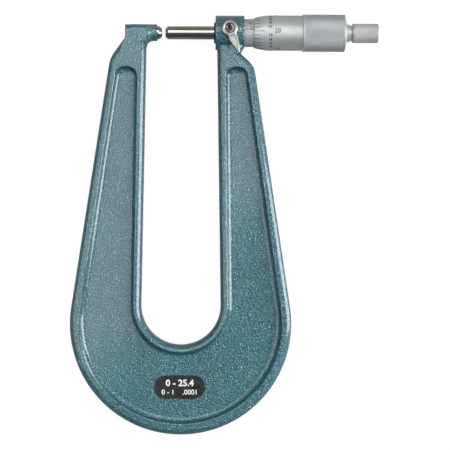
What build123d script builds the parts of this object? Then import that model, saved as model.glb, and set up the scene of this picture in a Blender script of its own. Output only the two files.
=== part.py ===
"""Deep throat outside micrometer, 0 to 1 inch, with a 6 inch throat, lying on its back.

Millimetres. The origin is the centre of the anvil's measuring face. The spindle's axis is +X,
the throat runs down along -Y, and +Z comes out of the side with the lock lever.
"""

import os
from math import acos, atan2, cos, degrees, hypot, radians, sin, sqrt, tan

from build123d import *

os.makedirs("parts", exist_ok=True)

# Measuring line
opening = 1.79
travel = 25.4
spindle_radius = 3.175
tip_length = 1.6
tip_cone_length = 1.3
tip_face_radius = 2.1
running_clearance = 0.02
turning_gap = 0.05

# Frame body: a bow round the throat and two arms whose widths are taken at arm_width_y
frame_thickness = 11.0
throat_depth = 152.4
throat_radius = 19.4
throat_x = 9.7
throat_half_width = 17.58
bow_radius = 53.85
bow_width = 43.35
arm_half_width = 36.35
arm_width_y = -23.0
edge_round = 2.9
corner_round = 3.2

# Recess in each side of the frame, by the rims that it leaves
recess_depth = 3.1
recess_side_rim = 4.95
recess_bottom_rim = 5.75
recess_arm_rim = 4.05
recess_throat_rim = 3.7
recess_throat_bottom_rim = 3.5
recess_top = -17.4
recess_end_flat = 1.5
recess_floor_round = 2.4
recess_rim_round = 0.65

# Left end of the frame, which holds the anvil
anvil_boss_radius = 4.08
anvil_boss_inset = 9.03
anvil_bare_length = 0.7
anvil_head_top = 3.75
anvil_neck_y = -2.36
anvil_shoulder_run = 0.712
anvil_shoulder_round = 14.0
head_round = 3.6
head_fade_inset = 4.0
head_band_width = 5.0
head_top_length = 6.0
flare_round = 3.2
flare_inset = 0.05
anvil_end_wall = 4.8

# Right end of the frame, which holds the spindle
spindle_boss_radius = 8.35
spindle_boss_proud = 1.08
boss_edge = 0.4
spindle_shoulder_run = -1.086
spindle_shoulder_round = 9.0
heel_inset = 7.75
heel_run = 1.9
heel_y = -10.3
heel_top = -6.5
heel_step = 0.05
heel_round = 2.0
arm_top_rise = 2.0

# Sleeves
sleeve_shank_radius = 4.75
guide_inset = 2.7
inner_sleeve_radius = 5.5
inner_sleeve_proud = 0.8
thread_radius = 3.7
thread_clearance = 0.05
thread_chamfer = 0.5
thread_start_gap = 0.7
nut_length = 18.5
relief_radius = 3.95
wiper_radius = 5.1
wiper_proud = 0.75
wiper_seat = 2.0
wiper_edge_round = 0.2
zero_line_inset = 2.9
outer_sleeve_radius = 6.75
outer_sleeve_overhang = 1.5
spanner_hole_radius = 0.8
spanner_hole_inset = 1.8
adjusting_nut_radius = 6.4
adjusting_nut_gap = 0.1
adjusting_nut_length = 3.6
nut_notch_depth = 1.2
nut_notch_width = 1.4
nut_notch_angle = 60.0
sleeve_thread_radius = 5.2
sleeve_end_seat = 4.0
sleeve_thread_runout = 1.0
sleeve_chamfer = 0.4
slit_width = 0.6
slit_length = 11.5

# Thimble
thimble_lip_radius = 7.2
thimble_bore_radius = 6.9
bevel_length = 6.4
bevel_curve = 40.0
thimble_radius = 8.5
thimble_plain_length = 23.51
knurl_step = 0.35
knurl_radius = 9.0
thimble_length = 44.01
thimble_end_gap = 0.5
cap_length = 1.2
cap_edge_length = 0.25
cap_edge_depth = 0.15
cap_end_radius = 4.7
taper_length = 9.0
taper_big_radius = 3.6
taper_small_radius = 3.0

# Ratchet stop
neck_radius = 4.2
neck_length = 4.0
groove_inset = 0.8
groove_slope = 0.3
groove_depth = 0.5
knob_gap = 0.1
knob_radius = 4.65
knob_length = 12.6
knob_start_edge = 0.3
knob_end_edge = 0.4
ratchet_pin_radius = 1.8
ratchet_thread_radius = 1.6
ratchet_thread_length = 9.0
screw_hole_depth = 4.0
screw_length = 3.6
knob_cavity_radius = 3.75
click_radius = 3.4
click_inset = 4.0
click_thickness = 1.6
tooth_height = 0.5
tooth_count = 12
tooth_end_gap = 0.3
tooth_share = 0.8
tooth_land = 0.05
web_inset = 6.7
web_thickness = 2.7
knob_recess_radius = 3.4
spring_radius = 2.6
spring_wire_radius = 0.25
spring_turns = 3.5
end_screw_radius = 2.6
end_screw_head = 1.2
end_screw_round = 0.3
driver_slot_width = 0.7
driver_slot_depth = 0.6

# Spindle lock
lock_inset = 6.9
lock_y = 1.1
spot_face_z = 7.2
spot_face_radius = 4.3
lever_ring_radius = 3.9
lever_ring_round = 0.5
lever_bottom = 7.25
lever_arm_bottom = 8.8
lever_arm_step = 0.15
lever_arm_round = 0.4
lever_top = 9.9
lever_length = 12.7
lever_angle = 22.0
lever_root_sink = 1.0
lever_root_width = 4.6
lever_middle_width = 3.4
lever_tip_width = 0.9
lever_recess_radius = 2.25
lever_recess_depth = 1.7
lock_thread_radius = 1.5
lock_head_radius = 2.1
lock_head_height = 1.3
lock_head_round = 0.2
lock_pad_gap = 0.06
lock_pad_length = 1.0
lock_socket_width = 1.9
lock_socket_depth = 1.0

# Plate in the recess
plate_length = 24.5
plate_height = 11.4
plate_thickness = 0.5
plate_edge_round = 0.15
plate_inset = 0.3
plate_below_throat = 20.3

half = frame_thickness / 2
bow_bottom = throat_depth + bow_width
bow_y = bow_radius - bow_bottom
throat_y = throat_radius - throat_depth
recess_floor = half - recess_depth
recess_radius = bow_radius - recess_side_rim
recess_bottom = bow_bottom - recess_bottom_rim
recess_y = recess_radius - recess_bottom
recess_inner_radius = throat_radius + recess_throat_rim
recess_inner_bottom = throat_depth + recess_throat_bottom_rim
recess_inner_y = recess_inner_radius - recess_inner_bottom

# Places along the axis: bosses from the throat and the arms, sleeves from the boss
anvil_boss_left = throat_x - arm_half_width + anvil_boss_inset
anvil_boss_right = -tip_length - anvil_bare_length
anvil_pin_left = anvil_boss_left + anvil_end_wall
heel_x = throat_x + arm_half_width - heel_inset
spindle_boss_left = throat_x + throat_half_width - spindle_boss_proud
spindle_boss_right = heel_x + heel_run
lock_x = spindle_boss_left + lock_inset
guide_end = spindle_boss_right - guide_inset
spanner_hole_x = spindle_boss_right + spanner_hole_inset
zero_line_x = spindle_boss_right + zero_line_inset
outer_sleeve_end = zero_line_x + travel + outer_sleeve_overhang
adjusting_nut_start = outer_sleeve_end + adjusting_nut_gap
adjusting_nut_end = adjusting_nut_start + adjusting_nut_length
inner_sleeve_end = adjusting_nut_end + inner_sleeve_proud
nut_start = inner_sleeve_end - nut_length
slit_start = inner_sleeve_end - slit_length

# The thimble's left edge stands at the reading, and its inner wall clears the sleeve when shut
thimble_start = zero_line_x + opening
thimble_wall = inner_sleeve_end + opening + thimble_end_gap
taper_end = thimble_wall + taper_length
thread_start = guide_end + opening + thread_start_gap
knurl_start = thimble_start + thimble_plain_length
thimble_end = thimble_start + thimble_length
knob_start = thimble_end + neck_length
knob_end = knob_start + knob_length
click_x = knob_start + click_inset
web_x = knob_start + web_inset
web_end = web_x + web_thickness


def lean(radius, centre_y, half_width):
    """Angle from upright of the flanks that touch a circle and stand half_width out at arm_width_y."""
    rise = arm_width_y - centre_y
    return degrees(atan2(rise, half_width) - acos(radius / hypot(rise, half_width)))


def flank(radius, centre_y, slope, y):
    """Half width at height y of two straight flanks that touch a circle and lean inwards."""
    return radius / cos(radians(slope)) - (y - centre_y) * tan(radians(slope))


def touch(radius, centre_y, slope, side):
    """Point where the circle runs into its flank, on side -1 or 1."""
    return (
        throat_x + side * radius * cos(radians(slope)),
        centre_y + radius * sin(radians(slope)),
    )


def shoulder(corner, run, side):
    """Point where the slanted edge through a corner meets the arm's outer flank."""
    steep = tan(radians(arm_slope))
    reach = side * (corner[0] - throat_x)
    half_width = flank(bow_radius, bow_y, arm_slope, corner[1])
    drop = (half_width - reach) / (side * run + steep)
    return (corner[0] + run * drop, corner[1] + drop)


arm_slope = lean(bow_radius, bow_y, arm_half_width)
throat_slope = lean(throat_radius, throat_y, throat_half_width)
recess_slope = lean(recess_radius, recess_y, arm_half_width - recess_arm_rim)
recess_inner_slope = lean(
    recess_inner_radius, recess_inner_y, throat_half_width + recess_arm_rim
)

# The recess ends in two rounds with a short flat between them
recess_outer_half = flank(recess_radius, recess_y, recess_slope, recess_top)
recess_inner_half = flank(recess_inner_radius, recess_inner_y, recess_inner_slope, recess_top)
recess_end_round = (recess_outer_half - recess_inner_half - recess_end_flat) / (
    tan(radians(45 - recess_slope / 2)) + tan(radians(45 + recess_inner_slope / 2))
)

# Outline corners of the two arms, from the bow up to the bosses
right_shoulder = shoulder((heel_x, heel_y), spindle_shoulder_run, 1)
left_shoulder = shoulder((anvil_boss_left, anvil_neck_y), anvil_shoulder_run, -1)
arm_top = heel_top + arm_top_rise
right_top_x = heel_x + spindle_shoulder_run * (arm_top - heel_y)
right_inner_x = throat_x + flank(throat_radius, throat_y, throat_slope, arm_top)
left_inner_x = throat_x - flank(throat_radius, throat_y, throat_slope, anvil_head_top)
anvil_head_right = left_inner_x

# U-shaped cutter for the recess, rounded along its floor
with BuildPart() as recess:
    with BuildSketch(Plane.XY.offset(recess_floor)):
        with BuildLine():
            ThreePointArc(
                touch(recess_radius, recess_y, recess_slope, -1),
                (throat_x, -recess_bottom),
                touch(recess_radius, recess_y, recess_slope, 1),
            )
            FilletPolyline(
                touch(recess_radius, recess_y, recess_slope, 1),
                (throat_x + recess_outer_half, recess_top),
                (throat_x + recess_inner_half, recess_top),
                touch(recess_inner_radius, recess_inner_y, recess_inner_slope, 1),
                radius=recess_end_round,
            )
            ThreePointArc(
                touch(recess_inner_radius, recess_inner_y, recess_inner_slope, 1),
                (throat_x, -recess_inner_bottom),
                touch(recess_inner_radius, recess_inner_y, recess_inner_slope, -1),
            )
            FilletPolyline(
                touch(recess_inner_radius, recess_inner_y, recess_inner_slope, -1),
                (throat_x - recess_inner_half, recess_top),
                (throat_x - recess_outer_half, recess_top),
                touch(recess_radius, recess_y, recess_slope, -1),
                radius=recess_end_round,
            )
        make_face()
    extrude(amount=recess_depth)
    fillet(recess.faces().sort_by(Axis.Z)[0].edges(), recess_floor_round)

# Flat head at the left end, sharp where it was milled, rounded along its top
with BuildPart() as anvil_head:
    with BuildSketch(Plane.XY.offset(-half)):
        with BuildLine():
            Polyline(
                (anvil_boss_left, anvil_head_top),
                (anvil_boss_left, anvil_neck_y),
                (left_shoulder[0] + head_fade_inset, left_shoulder[1]),
                (left_shoulder[0] + head_fade_inset + head_band_width, left_shoulder[1]),
                (anvil_boss_left + head_top_length, anvil_head_top),
                close=True,
            )
        make_face()
    extrude(amount=frame_thickness)
    top_edges = anvil_head.edges().filter_by(Axis.X).group_by(Axis.Y)[-1]
    fillet(top_edges, head_round)

# Small heel under the right boss
with BuildPart() as heel:
    with BuildSketch(Plane.XY.offset(-half)):
        with BuildLine():
            Polyline(
                (heel_x, heel_y),
                (spindle_boss_right - heel_step, heel_top),
                (lock_x, heel_top),
                (lock_x, heel_y),
                close=True,
            )
        make_face()
    extrude(amount=frame_thickness)
    slanted = heel.faces().sort_by(Axis.X)[-1].edges().filter_by(Plane.XY).group_by(Axis.Z)
    fillet(slanted[0] + slanted[-1], heel_round)

# Flare where the anvil's boss leaves the arm, kept inside the arm's rounded section
with BuildPart() as anvil_flare:
    with BuildSketch():
        with BuildLine():
            flare_start = (anvil_head_right, anvil_boss_radius + flare_round)
            flare_end = (anvil_head_right + flare_round, anvil_boss_radius)
            Polyline(
                flare_end,
                (anvil_head_right + flare_round, 0),
                (anvil_head_right - edge_round, 0),
                (anvil_head_right - edge_round, anvil_boss_radius + flare_round),
                flare_start,
            )
            RadiusArc(flare_start, flare_end, -flare_round)
        make_face()
    revolve(axis=Axis.X)
    with BuildSketch(Plane.YZ.offset(anvil_head_right - edge_round)) as arm_section:
        with Locations((anvil_head_top - flare_inset, 0)):
            Rectangle(
                2 * frame_thickness,
                frame_thickness - 2 * flare_inset,
                align=(Align.MAX, Align.CENTER),
            )
        fillet(arm_section.vertices().group_by(Axis.X)[-1], edge_round)
    extrude(amount=2 * edge_round + flare_round, mode=Mode.INTERSECT)

# One cast body: the bow and the two arms, with rounded edges and a recess in each face
with BuildPart() as body:
    with BuildSketch(Plane.XY.offset(-half)):
        with BuildLine():
            ThreePointArc(
                touch(bow_radius, bow_y, arm_slope, -1),
                (throat_x, -bow_bottom),
                touch(bow_radius, bow_y, arm_slope, 1),
            )
            FilletPolyline(
                touch(bow_radius, bow_y, arm_slope, 1),
                right_shoulder,
                (right_top_x, arm_top),
                (right_inner_x, arm_top),
                touch(throat_radius, throat_y, throat_slope, 1),
                radius=[spindle_shoulder_round, corner_round, corner_round],
            )
            ThreePointArc(
                touch(throat_radius, throat_y, throat_slope, 1),
                (throat_x, -throat_depth),
                touch(throat_radius, throat_y, throat_slope, -1),
            )
            FilletPolyline(
                touch(throat_radius, throat_y, throat_slope, -1),
                (left_inner_x, anvil_head_top),
                (anvil_boss_left, anvil_head_top),
                (anvil_boss_left, anvil_neck_y),
                left_shoulder,
                touch(bow_radius, bow_y, arm_slope, -1),
                radius=[corner_round, corner_round, corner_round, anvil_shoulder_round],
            )
        make_face()
    extrude(amount=frame_thickness)
    rims = body.faces().filter_by(Plane.XY).edges()
    fillet(rims, edge_round)
    add(recess.part, mode=Mode.SUBTRACT)
    add(mirror(recess.part, about=Plane.XY, mode=Mode.PRIVATE), mode=Mode.SUBTRACT)


# Boss of the spindle, trimmed at its lower right corner
with BuildPart() as spindle_boss:
    with BuildSketch(Plane.YZ.offset(spindle_boss_left)):
        Circle(spindle_boss_radius)
    extrude(amount=spindle_boss_right - spindle_boss_left)
    fillet(spindle_boss.edges().filter_by(GeomType.CIRCLE), boss_edge)
    with BuildSketch(Plane.XY.offset(-frame_thickness)):
        with BuildLine():
            Polyline(
                (heel_x, heel_y),
                (spindle_boss_right, heel_top),
                (spindle_boss_right + 1, heel_top),
                (spindle_boss_right + 1, heel_y),
                close=True,
            )
        make_face()
    extrude(amount=2 * frame_thickness, mode=Mode.SUBTRACT)

# The whole frame with its bores, spot face and lock hole
with BuildPart() as frame:
    add(body.part)
    recess_edges = [
        edge
        for face in frame.faces().filter_by(Plane.XY)
        if abs(abs(face.center().Z) - half) < 0.01
        for wire in face.inner_wires()
        for edge in wire.edges()
    ]
    fillet(recess_edges, recess_rim_round)
    add(anvil_head.part)
    add(anvil_flare.part)
    with BuildSketch(Plane.YZ.offset(anvil_boss_right)):
        Circle(anvil_boss_radius)
    extrude(amount=anvil_boss_left + 2 * edge_round - anvil_boss_right)
    add(heel.part)
    add(spindle_boss.part)
    with BuildSketch(Plane.YZ.offset(anvil_pin_left)):
        Circle(spindle_radius)
    extrude(amount=-tip_length - anvil_pin_left, mode=Mode.SUBTRACT)
    with BuildSketch(Plane.YZ.offset(spindle_boss_left)):
        Circle(sleeve_shank_radius)
    extrude(amount=spindle_boss_right - spindle_boss_left, mode=Mode.SUBTRACT)
    with BuildSketch(Plane.YZ.offset(spindle_boss_left)):
        Circle(wiper_radius)
    extrude(amount=wiper_seat, mode=Mode.SUBTRACT)
    with BuildSketch(Plane.XY.offset(spot_face_z)):
        with Locations((lock_x, lock_y)):
            Circle(spot_face_radius)
    extrude(amount=spindle_boss_radius, mode=Mode.SUBTRACT)
    with BuildSketch(Plane.XY):
        with Locations((lock_x, lock_y)):
            Circle(lock_thread_radius + turning_gap)
    extrude(amount=spindle_boss_radius, mode=Mode.SUBTRACT)
frame.part.label = "frame"
export_step(frame.part, "parts/frame.step")

with BuildPart() as name_plate:
    with BuildSketch(Plane.XY.offset(recess_floor)):
        with Locations((throat_x - plate_inset, -throat_depth - plate_below_throat)):
            SlotOverall(plate_length, plate_height)
    extrude(amount=plate_thickness)
    fillet(name_plate.edges().group_by(Axis.Z)[-1], plate_edge_round)
name_plate.part.label = "name_plate"
export_step(name_plate.part, "parts/name_plate.step")

# Anvil: a pin pressed into its boss, with a brazed carbide tip
with BuildPart() as anvil:
    with BuildSketch(Plane.YZ.offset(anvil_pin_left)):
        Circle(spindle_radius)
    extrude(amount=-tip_length - anvil_pin_left)
anvil.part.label = "anvil"
export_step(anvil.part, "parts/anvil.step")

with BuildPart() as anvil_tip:
    with BuildSketch():
        with BuildLine():
            Polyline(
                (0, 0),
                (0, tip_face_radius),
                (-tip_cone_length, spindle_radius),
                (-tip_length, spindle_radius),
                (-tip_length, 0),
                close=True,
            )
        make_face()
    revolve(axis=Axis.X)
anvil_tip.part.label = "anvil_tip"
export_step(anvil_tip.part, "parts/anvil_tip.step")

with BuildPart() as spindle_tip:
    with BuildSketch():
        with BuildLine():
            Polyline(
                (opening, 0),
                (opening, tip_face_radius),
                (opening + tip_cone_length, spindle_radius),
                (opening + tip_length, spindle_radius),
                (opening + tip_length, 0),
                close=True,
            )
        make_face()
    revolve(axis=Axis.X)
spindle_tip.part.label = "spindle_tip"
export_step(spindle_tip.part, "parts/spindle_tip.step")

# Spindle: plain bearing length, thread and the taper that carries the thimble
with BuildPart() as spindle:
    with BuildSketch():
        with BuildLine():
            Polyline(
                (opening + tip_length, 0),
                (opening + tip_length, spindle_radius),
                (thread_start, spindle_radius),
                (thread_start + thread_chamfer, thread_radius),
                (thimble_wall, thread_radius),
                (thimble_wall, taper_big_radius),
                (taper_end, taper_small_radius),
                (taper_end, 0),
                close=True,
            )
        make_face()
    revolve(axis=Axis.X)
    with BuildSketch(Plane.YZ.offset(taper_end)):
        Circle(ratchet_thread_radius)
    extrude(amount=-ratchet_thread_length, mode=Mode.SUBTRACT)
spindle.part.label = "spindle"
export_step(spindle.part, "parts/spindle.step")

# Inner sleeve: shank in the boss, guide bore, relief, and the split nut at its far end
with BuildPart() as inner_sleeve:
    with BuildSketch():
        with BuildLine():
            Polyline(
                (spindle_boss_left + wiper_seat, spindle_radius + running_clearance),
                (spindle_boss_left + wiper_seat, sleeve_shank_radius),
                (spindle_boss_right, sleeve_shank_radius),
                (spindle_boss_right, inner_sleeve_radius),
                (outer_sleeve_end - sleeve_end_seat, inner_sleeve_radius),
                (adjusting_nut_start - sleeve_thread_runout, sleeve_thread_radius),
                (inner_sleeve_end - sleeve_chamfer, sleeve_thread_radius),
                (inner_sleeve_end, sleeve_thread_radius - sleeve_chamfer),
                (inner_sleeve_end, thread_radius + thread_clearance),
                (nut_start, thread_radius + thread_clearance),
                (nut_start, relief_radius),
                (guide_end, relief_radius),
                (guide_end, spindle_radius + running_clearance),
                close=True,
            )
        make_face()
    revolve(axis=Axis.X)
    with BuildSketch(Plane.YZ.offset(slit_start)):
        with PolarLocations(sleeve_thread_radius, 3):
            Rectangle(4 * (sleeve_thread_radius - thread_radius), slit_width)
    extrude(amount=inner_sleeve_end - slit_start, mode=Mode.SUBTRACT)
    with BuildSketch(Plane.XY):
        with Locations((lock_x, lock_y)):
            Circle(lock_thread_radius + turning_gap)
    extrude(amount=spindle_boss_radius, mode=Mode.SUBTRACT)
inner_sleeve.part.label = "inner_sleeve"
export_step(inner_sleeve.part, "parts/inner_sleeve.step")

with BuildPart() as wiper_ring:
    with BuildSketch(Plane.YZ.offset(spindle_boss_left - wiper_proud)):
        Circle(wiper_radius)
        Circle(spindle_radius + turning_gap, mode=Mode.SUBTRACT)
    extrude(amount=wiper_proud + wiper_seat)
    outer_rim = wiper_ring.edges().group_by(Axis.X)[0].sort_by(SortBy.RADIUS)[-1]
    fillet(outer_rim, wiper_edge_round)
wiper_ring.part.label = "wiper_ring"
export_step(wiper_ring.part, "parts/wiper_ring.step")

# Outer sleeve with the scale, and the hole for its setting spanner at the back
with BuildPart() as outer_sleeve:
    with BuildSketch(Plane.YZ.offset(spindle_boss_right)):
        Circle(outer_sleeve_radius)
        Circle(inner_sleeve_radius, mode=Mode.SUBTRACT)
    extrude(amount=outer_sleeve_end - spindle_boss_right)
    with BuildSketch(Plane.XY):
        with Locations((spanner_hole_x, 0)):
            Circle(spanner_hole_radius)
    extrude(amount=-thimble_radius, mode=Mode.SUBTRACT)
outer_sleeve.part.label = "outer_sleeve"
export_step(outer_sleeve.part, "parts/outer_sleeve.step")

# Ring nut that closes the split end of the inner sleeve
with BuildPart() as adjusting_nut:
    with BuildSketch(Plane.YZ.offset(adjusting_nut_start)):
        Circle(adjusting_nut_radius)
        Circle(sleeve_thread_radius, mode=Mode.SUBTRACT)
    extrude(amount=adjusting_nut_length)
    with BuildSketch(Plane.YZ.offset(adjusting_nut_end)):
        with PolarLocations(adjusting_nut_radius, 2, start_angle=nut_notch_angle):
            Rectangle(nut_notch_depth, nut_notch_width)
    extrude(amount=-nut_notch_depth, mode=Mode.SUBTRACT)
adjusting_nut.part.label = "adjusting_nut"
export_step(adjusting_nut.part, "parts/adjusting_nut.step")

with BuildPart() as thimble:
    with BuildSketch():
        with BuildLine():
            lip = (thimble_start, thimble_lip_radius)
            bevel_end = (thimble_start + bevel_length, thimble_radius)
            Polyline(
                bevel_end,
                (knurl_start, thimble_radius),
                (knurl_start + knurl_step, knurl_radius),
                (thimble_end, knurl_radius),
                (thimble_end, neck_radius),
                (taper_end, neck_radius),
                (taper_end, taper_small_radius),
                (thimble_wall, taper_big_radius),
                (thimble_wall, thimble_bore_radius),
                (thimble_start, thimble_bore_radius),
                lip,
            )
            RadiusArc(lip, bevel_end, bevel_curve)
        make_face()
    revolve(axis=Axis.X)
thimble.part.label = "thimble"
export_step(thimble.part, "parts/thimble.step")

# Turned cover ring at the end of the thimble
with BuildPart() as thimble_cap:
    with BuildSketch():
        with BuildLine():
            cap_start = thimble_end + turning_gap
            Polyline(
                (cap_start, neck_radius + turning_gap),
                (cap_start, knurl_radius),
                (cap_start + cap_edge_length, knurl_radius - cap_edge_depth),
                (thimble_end + cap_length, cap_end_radius),
                (thimble_end + cap_length, neck_radius + turning_gap),
                close=True,
            )
        make_face()
    revolve(axis=Axis.X)
thimble_cap.part.label = "thimble_cap"
export_step(thimble_cap.part, "parts/thimble_cap.step")

# Ratchet stop: shaft screwed into the spindle, spring, toothed ring, knob and end screw
pin_end = web_end + turning_gap
shaft_start = taper_end - ratchet_thread_length + thread_chamfer
neck_end = knob_start - knob_gap
groove_start = neck_end - groove_slope - groove_inset
with BuildPart() as ratchet_shaft:
    with BuildSketch():
        with BuildLine():
            Polyline(
                (shaft_start, 0),
                (shaft_start, ratchet_thread_radius),
                (taper_end, ratchet_thread_radius),
                (taper_end, neck_radius),
                (groove_start, neck_radius),
                (groove_start + groove_slope, neck_radius - groove_depth),
                (neck_end, neck_radius - groove_depth),
                (neck_end, ratchet_pin_radius),
                (pin_end, ratchet_pin_radius),
                (pin_end, 0),
                close=True,
            )
        make_face()
    revolve(axis=Axis.X)
    with BuildSketch(Plane.YZ.offset(pin_end)):
        Circle(ratchet_pin_radius / 2)
    extrude(amount=-screw_hole_depth, mode=Mode.SUBTRACT)
ratchet_shaft.part.label = "ratchet_shaft"
export_step(ratchet_shaft.part, "parts/ratchet_shaft.step")

spring_start = neck_end + spring_wire_radius
spring_length = click_x - spring_start - spring_wire_radius
with BuildPart() as ratchet_spring:
    with BuildLine() as spring_path:
        Helix(
            pitch=spring_length / spring_turns,
            height=spring_length,
            radius=spring_radius,
            center=(spring_start, 0, 0),
            direction=(1, 0, 0),
        )
    with BuildSketch(Plane(origin=spring_path.line @ 0, z_dir=spring_path.line % 0)):
        Circle(spring_wire_radius)
    sweep(path=spring_path.line)
ratchet_spring.part.label = "ratchet_spring"
export_step(ratchet_spring.part, "parts/ratchet_spring.step")

tooth_length = click_radius - ratchet_pin_radius - tooth_end_gap
tooth_pitch = radians(360 / tooth_count) * (click_radius + ratchet_pin_radius) / 2
with BuildPart(Plane.YZ.offset(click_x)) as ratchet_click:
    Cylinder(click_radius, click_thickness, align=(Align.CENTER, Align.CENTER, Align.MIN))
    Cylinder(
        ratchet_pin_radius + running_clearance,
        click_thickness,
        align=(Align.CENTER, Align.CENTER, Align.MIN),
        mode=Mode.SUBTRACT,
    )
    with Locations((0, 0, click_thickness)):
        with PolarLocations((click_radius + ratchet_pin_radius) / 2, tooth_count):
            Wedge(
                tooth_length,
                tooth_pitch * tooth_share,
                tooth_height,
                0,
                0,
                tooth_length,
                tooth_land,
                align=(Align.CENTER, Align.CENTER, Align.MIN),
            )
ratchet_click.part.label = "ratchet_click"
export_step(ratchet_click.part, "parts/ratchet_click.step")

with BuildPart() as ratchet_knob:
    with BuildSketch():
        with BuildLine():
            Polyline(
                (knob_start, knob_cavity_radius),
                (knob_start, knob_radius - knob_start_edge),
                (knob_start + knob_start_edge, knob_radius),
                (knob_end - knob_end_edge, knob_radius),
                (knob_end, knob_radius - knob_end_edge),
                (knob_end, knob_recess_radius),
                (web_end, knob_recess_radius),
                (web_end, ratchet_pin_radius + turning_gap),
                (web_x, ratchet_pin_radius + turning_gap),
                (web_x, knob_cavity_radius),
                close=True,
            )
        make_face()
    revolve(axis=Axis.X)
ratchet_knob.part.label = "ratchet_knob"
export_step(ratchet_knob.part, "parts/ratchet_knob.step")

with BuildPart() as ratchet_screw:
    with BuildSketch(Plane.YZ.offset(pin_end)):
        Circle(end_screw_radius)
    extrude(amount=end_screw_head)
    with BuildSketch(Plane.YZ.offset(pin_end)):
        Circle(ratchet_pin_radius / 2)
    extrude(amount=-screw_length)
    fillet(ratchet_screw.edges().group_by(Axis.X)[-1], end_screw_round)
    with BuildSketch(Plane.YZ.offset(pin_end + end_screw_head)):
        Rectangle(driver_slot_width, 3 * end_screw_radius)
    extrude(amount=-driver_slot_depth, mode=Mode.SUBTRACT)
ratchet_screw.part.label = "ratchet_screw"
export_step(ratchet_screw.part, "parts/ratchet_screw.step")

# Horn-shaped arm of the lock lever, rounded along its top
with BuildPart() as lever_arm:
    arm_plane = Plane(
        origin=(lock_x, lock_y, lever_arm_bottom),
        x_dir=(sin(radians(lever_angle)), -cos(radians(lever_angle)), 0),
    )
    with BuildSketch(arm_plane):
        with BuildLine():
            root_x = lever_ring_radius - lever_root_sink
            tip_x = lever_length - lever_tip_width / 2
            middle_x = (root_x + tip_x) / 2
            right_side = ThreePointArc(
                (root_x, lever_root_width / 2),
                (middle_x, lever_middle_width / 2),
                (tip_x, lever_tip_width / 2),
            )
            left_side = ThreePointArc(
                (tip_x, -lever_tip_width / 2),
                (middle_x, -lever_middle_width / 2),
                (root_x, -lever_root_width / 2),
            )
            TangentArc((tip_x, lever_tip_width / 2), (lever_length, 0), tangent=right_side % 1)
            TangentArc((tip_x, -lever_tip_width / 2), (lever_length, 0), tangent=-(left_side % 0))
            Line((root_x, -lever_root_width / 2), (root_x, lever_root_width / 2))
        make_face()
    extrude(amount=lever_top - lever_arm_step - lever_arm_bottom)
    fillet(lever_arm.edges().group_by(Axis.Z)[-1].filter_by(GeomType.CIRCLE), lever_arm_round)

# Spindle lock: lever, its socket screw and the pad that bears on the spindle
with BuildPart() as lock_lever:
    with BuildSketch(Plane.XY.offset(lever_bottom)):
        with Locations((lock_x, lock_y)):
            Circle(lever_ring_radius)
    extrude(amount=lever_top - lever_bottom)
    fillet(lock_lever.edges().group_by(Axis.Z)[-1], lever_ring_round)
    add(lever_arm.part)
    with BuildSketch(Plane.XY.offset(lever_top)):
        with Locations((lock_x, lock_y)):
            Circle(lever_recess_radius)
    extrude(amount=-lever_recess_depth, mode=Mode.SUBTRACT)
    with BuildSketch(Plane.XY.offset(lever_top)):
        with Locations((lock_x, lock_y)):
            Circle(lock_thread_radius)
    extrude(amount=-frame_thickness, mode=Mode.SUBTRACT)
lock_lever.part.label = "lock_lever"
export_step(lock_lever.part, "parts/lock_lever.step")

lock_head_bottom = lever_top - lever_recess_depth
pad_bottom = spindle_radius + lock_pad_gap
with BuildPart() as lock_screw:
    with BuildSketch(Plane.XY.offset(lock_head_bottom)):
        with Locations((lock_x, lock_y)):
            Circle(lock_head_radius)
    extrude(amount=lock_head_height)
    fillet(lock_screw.edges().group_by(Axis.Z)[-1], lock_head_round)
    with BuildSketch(Plane.XY.offset(pad_bottom + lock_pad_length)):
        with Locations((lock_x, lock_y)):
            Circle(lock_thread_radius)
    extrude(amount=lock_head_bottom - pad_bottom - lock_pad_length)
    with BuildSketch(Plane.XY.offset(lock_head_bottom + lock_head_height)):
        with Locations((lock_x, lock_y)):
            RegularPolygon(lock_socket_width / sqrt(3), 6)
    extrude(amount=-lock_socket_depth, mode=Mode.SUBTRACT)
lock_screw.part.label = "lock_screw"
export_step(lock_screw.part, "parts/lock_screw.step")

with BuildPart() as lock_pad:
    with BuildSketch(Plane.XY.offset(pad_bottom)):
        with Locations((lock_x, lock_y)):
            Circle(lock_thread_radius)
    extrude(amount=lock_pad_length)
lock_pad.part.label = "lock_pad"
export_step(lock_pad.part, "parts/lock_pad.step")
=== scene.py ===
import math

import bmesh
import bpy
import numpy as np
from mathutils import Matrix, Vector


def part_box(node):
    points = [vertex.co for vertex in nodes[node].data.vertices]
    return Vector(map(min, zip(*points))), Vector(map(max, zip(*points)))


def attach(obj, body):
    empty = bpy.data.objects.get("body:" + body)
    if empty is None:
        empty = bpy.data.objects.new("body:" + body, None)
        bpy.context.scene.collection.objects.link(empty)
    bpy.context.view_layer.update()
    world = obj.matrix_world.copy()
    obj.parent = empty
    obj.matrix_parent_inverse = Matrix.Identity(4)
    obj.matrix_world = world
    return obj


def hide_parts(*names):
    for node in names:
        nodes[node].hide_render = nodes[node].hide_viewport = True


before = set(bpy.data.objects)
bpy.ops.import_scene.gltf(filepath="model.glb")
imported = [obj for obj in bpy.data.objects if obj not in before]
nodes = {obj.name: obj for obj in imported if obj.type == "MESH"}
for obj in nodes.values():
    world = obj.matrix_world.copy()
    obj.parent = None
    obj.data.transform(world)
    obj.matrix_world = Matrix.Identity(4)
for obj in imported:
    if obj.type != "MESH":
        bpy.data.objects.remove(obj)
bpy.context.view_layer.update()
mm = 0.001
print("frame loaded:", len(nodes), "nodes")


# Node helpers: noiseRange holds most of what a noise gives, wideNoiseRange nearly all of it.
noiseRange = (0.35, 0.65)
wideNoiseRange = (0.3, 0.7)


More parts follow.
